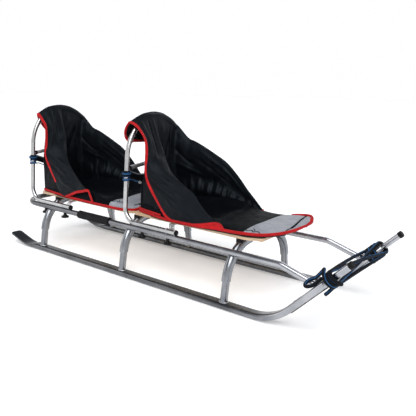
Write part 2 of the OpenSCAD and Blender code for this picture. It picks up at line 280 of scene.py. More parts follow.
def node(nt, kind, **props):
    n = nt.nodes.new(kind)
    for k, v in props.items():
        setattr(n, k, v)
    return n


def math_node(nt, op, a=None, b=None, clamp=False):
    n = node(nt, "ShaderNodeMath", operation=op)
    n.use_clamp = clamp
    for i, x in enumerate((a, b)):
        if x is None:
            continue
        if isinstance(x, (int, float)):
            n.inputs[i].default_value = x
        else:
            nt.links.new(x, n.inputs[i])
    return n.outputs[0]


def ramp(nt, fac, stops):
    n = node(nt, "ShaderNodeValToRGB")
    cr = n.color_ramp
    while len(cr.elements) < len(stops):
        cr.elements.new(0.5)
    for e, (pos, col) in zip(cr.elements, stops):
        e.position = pos
        e.color = (*col, 1) if len(col) == 3 else col
    nt.links.new(fac, n.inputs[0])
    return n.outputs[0]


def noise_tex(nt, vec, scale, detail=2.0, rough=0.5):
    n = node(nt, "ShaderNodeTexNoise")
    n.inputs["Scale"].default_value = scale
    n.inputs["Detail"].default_value = detail
    n.inputs["Roughness"].default_value = rough
    nt.links.new(vec, n.inputs["Vector"])
    return n.outputs["Fac"]


def coords(nt, scale=(1, 1, 1), kind="Object"):
    tc = node(nt, "ShaderNodeTexCoord")
    mp = node(nt, "ShaderNodeMapping")
    mp.inputs["Scale"].default_value = scale
    nt.links.new(tc.outputs[kind], mp.inputs["Vector"])
    return mp.outputs[0]


def bump(nt, b, height, strength, dist):
    n = node(nt, "ShaderNodeBump")
    n.inputs["Strength"].default_value = strength
    n.inputs["Distance"].default_value = dist
    nt.links.new(height, n.inputs["Height"])
    nt.links.new(n.outputs[0], b.inputs["Normal"])
    return n


def metal(name, light, dark, rough, streak=(6, 60, 60), along=None):
    """along: stops of (x in metres, brightness) that scale the colour along the part: painted shade towards the back
    and painted light towards the front, in place of darker and brighter reflections.
    """
    mt, nt, b = new_mat(name)
    b.inputs["Metallic"].default_value = 1.0
    big = noise_tex(nt, coords(nt), 14, 4, 0.6)
    fine = noise_tex(nt, coords(nt, streak), 14, 3, 0.6)
    mix = math_node(nt, "MULTIPLY_ADD", fine, 0.1)
    mix.node.inputs[2].default_value = 0.0
    tot = math_node(nt, "ADD", mix, math_node(nt, "MULTIPLY", big, 0.9))
    base = ramp(nt, tot, [(0.30, dark), (0.62, light)])
    # colour scaled along x: painted shade and painted light
    if along:
        tc = node(nt, "ShaderNodeTexCoord")
        sp = node(nt, "ShaderNodeSeparateXYZ")
        nt.links.new(tc.outputs["Object"], sp.inputs[0])
        mr = node(nt, "ShaderNodeMapRange")
        mr.inputs["From Min"].default_value = along[0][0]
        mr.inputs["From Max"].default_value = along[-1][0]
        nt.links.new(sp.outputs[0], mr.inputs["Value"])
        span = along[-1][0] - along[0][0]
        shade_gain = ramp(nt, mr.outputs[0], [((x_ - along[0][0]) / span, (g_, g_, g_)) for x_, g_ in along])
        mx = node(nt, "ShaderNodeMix", data_type="RGBA", blend_type="MULTIPLY")
        mx.inputs[0].default_value = 1.0
        nt.links.new(base, mx.inputs[6])
        nt.links.new(shade_gain, mx.inputs[7])
        base = mx.outputs[2]
    nt.links.new(base, b.inputs["Base Color"])
    rr = node(nt, "ShaderNodeMapRange")
    rr.inputs["From Min"].default_value = 0.3
    rr.inputs["From Max"].default_value = 0.7
    rr.inputs["To Min"].default_value = rough - 0.05
    rr.inputs["To Max"].default_value = rough + 0.08
    nt.links.new(big, rr.inputs["Value"])
    nt.links.new(rr.outputs[0], b.inputs["Roughness"])
    bump(nt, b, fine, 0.02, 0.0001)
    return mt


def plastic(name, col, rough, grain=900.0, spec=0.12):
    mt, nt, b = new_mat(name)
    n = noise_tex(nt, coords(nt), grain, 2)
    big = noise_tex(nt, coords(nt), 40, 3)
    nt.links.new(ramp(nt, big, [(0.3, tuple(c * 0.75 for c in col)), (0.7, tuple(c * 1.3 for c in col))]), b.inputs["Base Color"])
    b.inputs["Roughness"].default_value = rough
    b.inputs["Specular IOR Level"].default_value = spec
    bump(nt, b, n, 0.25, 0.0002)
    return mt


def fabric(name, lo, hi, rough=0.62, weave=0.00045, sheen=0.25, tint=(0.6, 0.7, 1.0), spec=0.135):
    """Tight plain weave from the cover's own flat coordinates."""
    mt, nt, b = new_mat(name)
    tc = node(nt, "ShaderNodeTexCoord")
    sep = node(nt, "ShaderNodeSeparateXYZ")
    nt.links.new(tc.outputs["UV"], sep.inputs[0])
    k = 2 * math.pi / weave / 2
    sx = math_node(nt, "SINE", math_node(nt, "MULTIPLY", sep.outputs[0], k))
    sy = math_node(nt, "SINE", math_node(nt, "MULTIPLY", sep.outputs[1], k))
    w = math_node(nt, "MULTIPLY", sx, sy)
    big = noise_tex(nt, coords(nt), 9, 4, 0.6)
    fine = noise_tex(nt, coords(nt), 70, 3, 0.6)
    tone = math_node(nt, "ADD", math_node(nt, "MULTIPLY", big, 0.6), math_node(nt, "MULTIPLY", fine, 0.4))
    nt.links.new(ramp(nt, tone, [(0.35, lo), (0.65, hi)]), b.inputs["Base Color"])
    b.inputs["Roughness"].default_value = rough
    b.inputs["Sheen Weight"].default_value = sheen
    b.inputs["Sheen Roughness"].default_value = 0.4
    b.inputs["Sheen Tint"].default_value = (*tint, 1)
    b.inputs["Specular IOR Level"].default_value = spec
    b.inputs["Specular Tint"].default_value = (0.74, 0.87, 1.0, 1)
    h = math_node(nt, "ADD", math_node(nt, "MULTIPLY", w, 0.25), math_node(nt, "MULTIPLY", fine, 1.6))
    bump(nt, b, h, 0.35, 0.0006)
    return mt


def binding(name, lo, hi):
    """Ribbed tape with a stitch line; u runs along the tape, v round it."""
    mt, nt, b = new_mat(name)
    tc = node(nt, "ShaderNodeTexCoord")
    sep = node(nt, "ShaderNodeSeparateXYZ")
    nt.links.new(tc.outputs["UV"], sep.inputs[0])
    rib = math_node(nt, "SINE", math_node(nt, "MULTIPLY", sep.outputs[0], 2 * math.pi / 0.0013))
    st = math_node(nt, "GREATER_THAN", math_node(nt, "SINE", math_node(nt, "MULTIPLY", sep.outputs[0], 2 * math.pi / 0.0042)), -0.2)
    v = sep.outputs[1]
    lines = None
    for c in (0.12, 0.38, 0.62, 0.88):
        d = math_node(nt, "ABSOLUTE", math_node(nt, "SUBTRACT", v, c))
        k = math_node(nt, "LESS_THAN", d, 0.018)
        lines = k if lines is None else math_node(nt, "ADD", lines, k, clamp=True)
    stitch = math_node(nt, "MULTIPLY", st, lines)
    big = noise_tex(nt, coords(nt), 60, 3)
    base = ramp(nt, big, [(0.3, lo), (0.7, hi)])
    mx = node(nt, "ShaderNodeMix", data_type="RGBA")
    nt.links.new(stitch, mx.inputs[0])
    nt.links.new(base, mx.inputs[6])
    mx.inputs[7].default_value = (lo[0] * 0.5, lo[1] * 0.5, lo[2] * 0.5, 1)
    nt.links.new(mx.outputs[2], b.inputs["Base Color"])
    b.inputs["Roughness"].default_value = 0.7
    b.inputs["Specular IOR Level"].default_value = 0.2
    b.inputs["Sheen Weight"].default_value = 0.05
    h = math_node(nt, "SUBTRACT", math_node(nt, "MULTIPLY", rib, 0.2), stitch)
    bump(nt, b, h, 0.4, 0.0005)
    return mt


def rope_mat(name, pitch=0.42, share=0.07, blue_hi=(0.045, 0.16, 0.37)):
    """Braided cord, black with two blue tracers; u runs along the cord, v round it."""
    mt, nt, b = new_mat(name)
    tc = node(nt, "ShaderNodeTexCoord")
    sep = node(nt, "ShaderNodeSeparateXYZ")
    nt.links.new(tc.outputs["UV"], sep.inputs[0])
    u, v = sep.outputs[0], sep.outputs[1]
    tr = math_node(nt, "FRACT", math_node(nt, "ADD", math_node(nt, "MULTIPLY", v, 2.0), math_node(nt, "DIVIDE", u, pitch)))
    tr = math_node(nt, "LESS_THAN", math_node(nt, "ABSOLUTE", math_node(nt, "SUBTRACT", tr, 0.5)), share)
    a = math_node(nt, "SINE", math_node(nt, "ADD", math_node(nt, "MULTIPLY", u, 2 * math.pi / 0.0055), math_node(nt, "MULTIPLY", v, 2 * math.pi * 6)))
    c = math_node(nt, "SINE", math_node(nt, "SUBTRACT", math_node(nt, "MULTIPLY", u, 2 * math.pi / 0.0055), math_node(nt, "MULTIPLY", v, 2 * math.pi * 6)))
    br = math_node(nt, "MULTIPLY", a, c)
    dark = ramp(nt, math_node(nt, "MULTIPLY_ADD", br, 0.5), [(0.2, (0.002, 0.0024, 0.0035)), (0.8, (0.010, 0.011, 0.015))])
    blue = ramp(nt, math_node(nt, "MULTIPLY_ADD", br, 0.5), [(0.2, (0.012, 0.06, 0.17)), (0.8, blue_hi)])
    mx = node(nt, "ShaderNodeMix", data_type="RGBA")
    nt.links.new(tr, mx.inputs[0])
    nt.links.new(dark, mx.inputs[6])
    nt.links.new(blue, mx.inputs[7])
    nt.links.new(mx.outputs[2], b.inputs["Base Color"])
    b.inputs["Roughness"].default_value = 0.65
    b.inputs["Specular IOR Level"].default_value = 0.07
    b.inputs["Sheen Weight"].default_value = 0.0
    bump(nt, b, br, 0.6, 0.0007)
    return mt


def plywood(name):
    mt, nt, b = new_mat(name)
    tc = node(nt, "ShaderNodeTexCoord")
    sep = node(nt, "ShaderNodeSeparateXYZ")
    nt.links.new(tc.outputs["Object"], sep.inputs[0])
    grain = noise_tex(nt, coords(nt, (1.2, 14, 60)), 14, 5, 0.65)
    ring_ = noise_tex(nt, coords(nt, (0.7, 6, 1)), 9, 3, 0.5)
    ply = math_node(nt, "SINE", math_node(nt, "MULTIPLY", sep.outputs[2], 2 * math.pi / 0.0027))
    t = math_node(nt, "ADD", math_node(nt, "MULTIPLY", grain, 0.6), math_node(nt, "MULTIPLY", ring_, 0.4))
    base = ramp(nt, t, [(0.3, (0.50, 0.33, 0.19)), (0.5, (0.66, 0.48, 0.31)), (0.7, (0.78, 0.62, 0.44))])
    # layers show only on the edges
    geo = node(nt, "ShaderNodeNewGeometry")
    sn = node(nt, "ShaderNodeSeparateXYZ")
    nt.links.new(geo.outputs["Normal"], sn.inputs[0])
    edge = math_node(nt, "LESS_THAN", math_node(nt, "ABSOLUTE", sn.outputs[2]), 0.5)
    lay = math_node(nt, "MULTIPLY", math_node(nt, "GREATER_THAN", ply, 0.1), edge)
    mx = node(nt, "ShaderNodeMix", data_type="RGBA")
    nt.links.new(math_node(nt, "MULTIPLY", lay, 0.55), mx.inputs[0])
    nt.links.new(base, mx.inputs[6])
    mx.inputs[7].default_value = (0.45, 0.27, 0.15, 1)
    nt.links.new(mx.outputs[2], b.inputs["Base Color"])
    b.inputs["Roughness"].default_value = 0.45
    b.inputs["Coat Weight"].default_value = 0.25
    b.inputs["Coat Roughness"].default_value = 0.25
    bump(nt, b, grain, 0.15, 0.0004)
    return mt


STEEL = metal("frame_steel", (0.31, 0.32, 0.34), (0.17, 0.18, 0.20), 0.22)
# runners: colour scaled along x, painted shade over the flat runner and painted light on the raised front, for the dark
# and bright reflections on them
RUNNER = metal("runner_steel", (0.50, 0.51, 0.54), (0.30, 0.31, 0.34), 0.22, along=[(-0.7, 0.30), (0.34, 0.34), (0.50, 0.85), (0.70, 1.0)])
WELD = metal("weld_steel", (0.74, 0.74, 0.74), (0.36, 0.37, 0.40), 0.42)
HOOP = metal("hoop_steel", (0.50, 0.50, 0.50), (0.32, 0.325, 0.335), 0.19)
BRACKET = metal("bracket_steel", (0.80, 0.81, 0.82), (0.62, 0.63, 0.65), 0.46)
# side rails and rear cross tube: colour scaled along x, painted shade towards the back for the darker reflections there
RAIL = metal("rail_steel", (0.50, 0.51, 0.54), (0.32, 0.33, 0.36), 0.22, along=[(-0.68, 0.22), (-0.45, 0.34), (0.0, 0.55), (0.45, 1.0)])
BLACK = plastic("black_plastic", (0.006, 0.006, 0.007), 0.42)
FOAM = plastic("grip_foam", (0.010, 0.010, 0.011), 0.8, 1400, 0.12)
PLY = plywood("plywood")
NYLON = fabric("black_nylon", (0.0012, 0.0017, 0.0025), (0.0030, 0.0039, 0.0054), rough=0.46, sheen=0.02)
NYLON_DARK = fabric("black_nylon_lining", (0.0014, 0.0016, 0.0022), (0.0032, 0.0035, 0.0045), rough=0.6, sheen=0.01)
# darker copy of the black nylon for the seat, which faces up: painted shade against the sky light falling on it, with
# weaker specular
NYLON_SEAT = fabric("black_nylon_seat", (0.0010, 0.0014, 0.0020), (0.0026, 0.0032, 0.0044), rough=0.52, sheen=0.005, spec=0.05)
GREY = fabric("silver_grey_panel", (0.20, 0.21, 0.24), (0.33, 0.34, 0.37), rough=0.5, sheen=0.1, tint=(1, 1, 1))
RED = binding("red_binding", (0.34, 0.002, 0.004), (0.50, 0.005, 0.008))
ROPE = rope_mat("rope_black_blue")
LASHING = rope_mat("lashing_black_blue", 0.12, 0.24, (0.06, 0.22, 0.50))
# grey fabric for the line on the black strap's top edge: painted sheen
STRAP_SHEEN = fabric("strap_sheen_grey", (0.10, 0.105, 0.115), (0.17, 0.175, 0.19), weave=0.0012, sheen=0.1)

slot_mat = {"frame_steel": STEEL, "hoop_steel": HOOP, "black_plastic": BLACK, "grip_foam": FOAM, "plywood": PLY,
            "black_nylon": NYLON, "rope_black": ROPE}
node_slot = {s["node"]: s["material_slot"] for s in frame["record"]["subparts"]}
for name, ob in frame["nodes"].items():
    if name in ("runner_left", "runner_right"):
        mt = RUNNER
    elif name in ("side_rail_left", "side_rail_right", "rear_cross_tube"):
        mt = RAIL
    elif name in ("board_brackets", "hoop_crossbar_rear", "hoop_crossbar_front"):
        mt = BRACKET
    else:
        mt = slot_mat[node_slot[name]]
    if not ob.material_slots:
        ob.data.materials.append(mt)
    for ms in ob.material_slots:
        ms.material = mt

# ---------------------------------------------------------------- tow rope
RISE = math.radians(45)
E_T = np.array((math.cos(RISE), 0, math.sin(RISE)))      # along the raised tips
E_N = np.array((-math.sin(RISE), 0, math.cos(RISE)))     # square to them, up and back
ROPE_D = 9.4


def rod(t, y, n=0.0, off=0.0):
    """Point beside a raised tip: t along it, n square to it, off in Y from its axis (mm)."""
    return np.array((463 + t * E_T[0], y + off, 9.5 + t * E_T[2])) + E_N * n


def wrap(t0, t1, y, a0, a1, r=17.4):
    """Points round a tip from angle a0 to a1 (degrees; 0 is the +Y side, 90 the upper side); wider where the tip is oval."""
    n = max(3, int(abs(a1 - a0) / 18) + 1)
    out = []
    for t, a in zip(np.linspace(t0, t1, n), np.radians(np.linspace(a0, a1, n))):
        c = 5.6 * min(1, max(0, (214 - t) / 16))
        out.append(rod(t, y, (r + 0.5 * c) * math.sin(a), (r + c) * math.cos(a)))
    return out


def across(t0, t1, n0, n1, sag, up, bow=0.0):
    """Points of a run from one tip to the other; up is +1 for right to left, -1 for left to right; bow moves its middle along the tips."""
    y0 = -170 if up > 0 else 170
    return [rod(t0 + (t1 - t0) * s + bow * math.sin(math.pi * s), y0 + up * 340 * s, n0 + (n1 - n0) * s + sag * math.sin(math.pi * s)) for s in (0.06, 0.12, 0.2, 0.3, 0.4, 0.5, 0.6, 0.7, 0.8, 0.88, 0.94)]


def tail_loop():
    """Doubled tail of the cord, lying over the end of the side rail."""
    c = rod(167, -163, 20.5)
    ca, sa = math.cos(math.radians(20)), math.sin(math.radians(20))
    ax = -E_T * ca + E_N * sa
    b0 = E_T * sa + E_N * ca
    bx = np.array((0, 1.0, 0)) * ca + b0 * sa
    pts = [(-1, -17.2), (7, -17.4)] + [(9 + 17.4 * math.cos(q), 17.4 * math.sin(q)) for q in np.radians(np.arange(-75, 80, 15))] + [(5, 17.2)]
    return [c + ax * a + bx * b for a, b in pts]


def tow_route():
    """One cord: a doubled tail, long loops round both tips with turns on each, then a loose end."""
    near, far = -170.0, 170.0
    p = [rod(199, near, 16.0, -5.5), rod(192, near, 15.0, -6.5), rod(184, near, 14.6, -7.7)]
    p += tail_loop()
    p += [rod(171, near, 26.5, 23), rod(180, near, 27.5, 22.6), rod(192, near, 29, 21.5), rod(203, near, 30.4, 18), rod(211, near, 31, 9.5), rod(213.5, near, 27.5, -1.5),
          rod(212.5, near, 20.5, -11), rod(210.5, near, 11.5, -17.8)]
    p += wrap(209.5, 210, near, 175, 270)
    p += across(210.5, 203, -17.8, -20, 1.0, 1)
    p += wrap(203.5, 160.5, far, -90, 90 + 1440)
    p += across(160, 217, 20.2, 17.4, 2.5, -1)
    p += wrap(218, 219, near, 90, 270)
    p += across(219.5, 213, -17.4, 17.8, -1.0, 1, -4.5)
    p += wrap(213, 214.5, far, 90, -90)
    p += across(215, 226.5, -17.8, 17.4, 1.0, -1, 4.5)
    p += wrap(227, 229.5, near, 90, 250)
    p += [rod(228, near, -20.5, 1), rod(223.5, near, -22.5, 11), rod(215, near, -20, 20), rod(205, near, -17, 22.5), rod(196, near, -17, 18.5), rod(188, near, -19, 11),
          rod(182, near, -20, 3), rod(178, near, -20.5, -4)]
    return p


def relax(p, r_min, rounds):
    """Ease the tightest bends of an evenly spaced cord."""
    p = np.array(p, float)
    for _ in range(rounds):
        a, b, c = p[:-2], p[1:-1], p[2:]
        l1, l2 = np.linalg.norm(b - a, axis=1), np.linalg.norm(c - b, axis=1)
        k = np.arccos(np.clip(((b - a) * (c - b)).sum(1) / (l1 * l2), -1, 1)) / ((l1 + l2) / 2)
        w = np.where(k * r_min > 1, 0.5, 0.0)
        w = np.convolve(w, np.ones(5) / 5, "same")
        p[1:-1] += ((a + c) / 2 - b) * w[:, None]
    return p


def even(p, n):
    """The same line with n points spaced evenly."""
    d = np.concatenate([[0], np.cumsum(np.linalg.norm(np.diff(p, axis=0), axis=1))])
    w = np.linspace(0, d[-1], n)
    return np.stack([np.interp(w, d, p[:, k]) for k in range(3)], axis=1)


def smooth_line(p, rounds):
    p = np.array(p, float)
    for _ in range(rounds):
        p[1:-1] = (p[:-2] + 2 * p[1:-1] + p[2:]) / 4
    return p


def rope_tube(name, path, d, mat, k=12):
    v, f, uv = sweep(path, ring(d / 2, k=k))
    return mesh_obj(name, v, f, mat, uvs=uv)


path = even(smooth_line(relax(catmull(tow_route(), 1500), 17.6, 40), 10), 1300)
rope = rope_tube("tow_rope", path, ROPE_D, ROPE)
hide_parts("tow_rope_hank", "tow_rope_bight")


# ---------------------------------------------------------------- seat covers
def spread(c, n, rounds=14):
    """Evenly spaced, softly smoothed line through grid points."""
    q = even(np.asarray(c, float), n)
    return smooth_line(q, rounds)


def tape(name, edge, inner, n, w=9.6, th=5.0, mat=None, extra=None):
    """Binding folded over a cloth edge: edge points, points a little way into the cloth, width and thickness in mm."""
    e, i = spread(edge, n, 6), spread(inner, n, 6)
    d = i - e
    d /= np.maximum(np.linalg.norm(d, axis=1), 1e-9)[:, None]
    c = e + d * (w / 2 - 1.6)
    if extra is not None:
        ex = catmull([c[-1]] + list(extra), 24)[1:]
        c = np.vstack([c, ex])
        d = np.vstack([d, np.repeat(d[-1:], len(ex), axis=0)])
    t = np.gradient(c, axis=0)
    nm = np.cross(t, d)
    nm /= np.maximum(np.linalg.norm(nm, axis=1), 1e-9)[:, None]
    nm = smooth_line(nm, 30)
    sec = []
    for a in np.linspace(0, 2 * math.pi, 16, endpoint=False):
        ca, sa = math.cos(a), math.sin(a)
        sec.append((w / 2 * math.copysign(abs(ca) ** 0.6, ca), th / 2 * math.copysign(abs(sa) ** 0.8, sa)))
    v, f, uv = sweep(c, sec, normals=nm)
    return mesh_obj(name, v, f, mat or RED, uvs=uv)


def piping(name, pts, n, mat=None, w=7.0, th=4.6, normals=None, closed=False, slot="black_nylon"):
    path_ = catmull(pts, n, closed)
    v, f, uv = sweep(path_, ring(w / 2, th / 2, 12), normals=normals, closed=closed)
    return mesh_obj(name, v, f, mat or RED, uvs=uv)


# Curves of one cover, mm, at the front seat. Right side is the one towards the camera.
RIDGE = [(-128, -102, 479.5), (-121, -80, 493), (-115.5, -54, 504.5), (-113.5, -21, 509.5), (-113, 5, 509.5),
         (-114, 44, 502), (-118, 76, 487), (-122, 92, 473)]
FLAP_EDGE = [(-128, -102, 479.5), (-139, -106, 462), (-142, -108, 443), (-142, -101, 426), (-140, -82, 416.5),
             (-138, -36, 414), (-137, 0, 413), (-137, 40, 413.5), (-138, 78, 416), (-137, 95, 427), (-134, 99, 445),
             (-129, 97, 461), (-122, 92, 473)]
NEAR_EDGE = [(-128, -102, 479.5), (-111, -102, 476), (-87, -102, 463), (-72, -102, 449), (-60, -102, 431), (-57, -102, 401),
             (-59, -102, 366), (-60, -102, 332), (-53, -103, 306), (-40, -105, 287), (-1, -109, 242), (34, -112, 206), (58, -112.5, 195)]
NEAR_FOLD = [(-113, -6, 509.7), (-104, -6, 497), (-97, -6, 468), (-91, -7, 440), (-79, -9, 412), (-60, -16, 389),
             (-28, -37, 360), (15, -60, 330), (70, -76, 306), (121, -86, 286), (160, -98, 258), (195, -102, 231), (224, -107, 214)]
NEAR_FOOT = [(58, -112.5, 196), (90, -112.5, 196), (125, -112.5, 196), (150, -112, 197.5), (173, -111, 202), (190, -110, 206), (206, -108.5, 210), (224, -107, 214)]
FOOT_END = [(235, -107.5, 214.5), (243, -108.5, 211), (250, -110.5, 203)]
NEAR_FOLD_REAR = [(-112, -6, 507), (-104, -6, 497), (-97, -6, 468), (-91, -7, 440), (-80, -9, 412), (-64, -18, 386),
                  (-40, -37, 356), (-8, -60, 326), (28, -76, 300), (66, -88, 278), (105, -99, 256), (150, -107, 232)]
NEAR_FOOT_REAR = [(44, -112.5, 196), (60, -112, 202), (80, -111, 211), (104, -110, 220.5), (131, -108, 227), (150, -107, 232)]
FOOT_END_REAR = [(157, -107, 231), (164, -108, 220), (172, -109, 209), (179, -110, 197)]
FAR_TOP = [(-122, 92, 473), (-109, 102, 465), (-85, 104, 446), (-68, 105, 430), (-52, 106, 419), (-28, 108, 412), (-4, 110, 402.5),
           (55, 116, 374.5), (90, 119, 356), (110, 120, 341), (130, 120, 324), (153, 119, 303), (176, 117, 280), (215, 114, 246), (246, 109, 220)]
FAR_BACK = [(-122, 92, 473), (-113, 98, 458), (-97, 103, 436), (-84, 105, 412), (-78, 105, 380), (-76, 105, 340), (-62, 105, 300),
            (-22, 108, 250), (18, 112, 208), (44, 113, 195)]
FAR_FOOT = [(44, 113, 195), (100, 113, 196), (160, 113, 198), (210, 112, 205), (246, 109, 220)]
RIDGE_REAR = [(-121, -98, 477), (-117, -80, 489), (-114, -54, 501.5), (-112, -21, 506.6), (-112, 5, 506.8),
              (-113, 44, 499.5), (-117, 76, 485), (-122, 92, 473)]
FLAP_EDGE_REAR = [(-121, -98, 477), (-128, -90, 462), (-131, -78, 445), (-131, -64, 427), (-132, -48, 414), (-133, -20, 409), (-133, 10, 408),
                  (-133, 40, 409), (-132, 60, 416), (-131, 74, 430), (-129, 84, 446), (-126, 90, 461), (-122, 92, 473)]
NEAR_EDGE_REAR = [(-121, -98, 477), (-114, -100, 475), (-101, -102, 467), (-88, -102, 454), (-73, -102, 436), (-72, -102, 401), (-77, -102, 366),
                  (-82, -102, 334), (-70, -103, 306), (-53, -105, 285), (-18, -109, 242), (14, -112, 206), (44, -112.5, 196)]
SEAT_RIM = [(-100, -86, 199), (-60, -97, 199), (-20, -104, 198), (24, -108.5, 196.5), (70, -110, 195.5), (130, -110, 195.5),
            (160, -110, 196.5), (190, -110, 199.8), (215, -110, 202), (245, -110.5, 202.8), (290, -109.5, 203.8), (318, -106, 205),
            (338, -100, 205), (366, -82, 204.5), (386, -55, 204.5), (403, -22, 205.5), (416, 15, 208.5), (424, 50, 213.5), (428, 80, 217),
            (424, 100, 220), (408, 110, 225), (382, 111, 223), (350, 110, 220), (318, 109, 217), (280, 109, 216), (247, 109, 218)]
SEAT_RIM_REAR = [(-104, -94, 201), (-84, -97, 200), (-60, -99, 199), (0, -105, 197), (48, -109, 196), (130, -110, 195), (190, -110, 194.5),
                 (245, -111, 195), (300, -108, 194.5), (338, -100, 195.5), (366, -82, 198)] + SEAT_RIM[14:]
FRONT_SEAM = [(401, -19), (404, -9), (406.5, 2), (408, 19), (407.4, 40.2), (405.3, 67.8), (404, 97)]
HOOP_X, HOOP_Z, HOOP_R = -110.0, 367.5, 129.5


def shift(c, dx):
    return np.asarray(c, float) + (dx, 0, 0)


def off_hoop(g, dx, side, keep=9.9):
    """Keep cloth clear of the hoop's round top and legs, in front of it (+1) or behind it (-1)."""
    g = g.copy()
    y, z = g[..., 1], g[..., 2]
    rho = np.hypot(y, z - HOOP_Z)
    top = z > HOOP_Z + HOOP_R * math.sin(math.radians(4))
    leg = np.abs(np.abs(y) - (129.2 + (376.5 - z) * math.tan(math.radians(4))))
    d = np.where(top, np.abs(rho - HOOP_R), leg)
    need = np.sqrt(np.clip(keep ** 2 - d ** 2, 0, None))
    x0 = HOOP_X + dx + side * need
    hit = need > 0
    g[..., 0] = np.where(hit & (side * (g[..., 0] - x0) < 0), x0, g[..., 0])
    return g


def soften(g, rounds=2):
    g = g.copy()
    for _ in range(rounds):
        g[1:-1, 1:-1] = (g[1:-1, 1:-1] * 4 + g[:-2, 1:-1] + g[2:, 1:-1] + g[1:-1, :-2] + g[1:-1, 2:]) / 8
    return g


def cut_size(g):
    """Width, length and area of the flat cloth that a grid was cut from, in metres."""
    rows = np.linalg.norm(np.diff(g, axis=1), axis=2).sum(1)
    cols = np.linalg.norm(np.diff(g, axis=0), axis=2).sum(0)
    a = np.linalg.norm(np.cross(g[1:, :-1] - g[:-1, :-1], g[:-1, 1:] - g[:-1, :-1]), axis=2)
    b = np.linalg.norm(np.cross(g[1:, :-1] - g[1:, 1:], g[:-1, 1:] - g[1:, 1:]), axis=2)
    area = float((a + b).sum() / 2)
    return float(rows.max()) * MM, float(cols.max()) * MM, area * MM * MM


def declare(g):
    w_, l_, a_ = cut_size(g)
    a_ = min(a_, 0.99 * w_ * l_)
    if a_ < 0.32 * w_ * l_:
        l_ = a_ / (0.32 * w_)


def seam(name, pts, d=1.5, mat=None):
    path_ = catmull(pts, max(20, len(pts) * 6))
    v, f, uv = sweep(path_, ring(d / 2, k=8))
    return mesh_obj(name, v, f, mat or NYLON_DARK, uvs=uv)


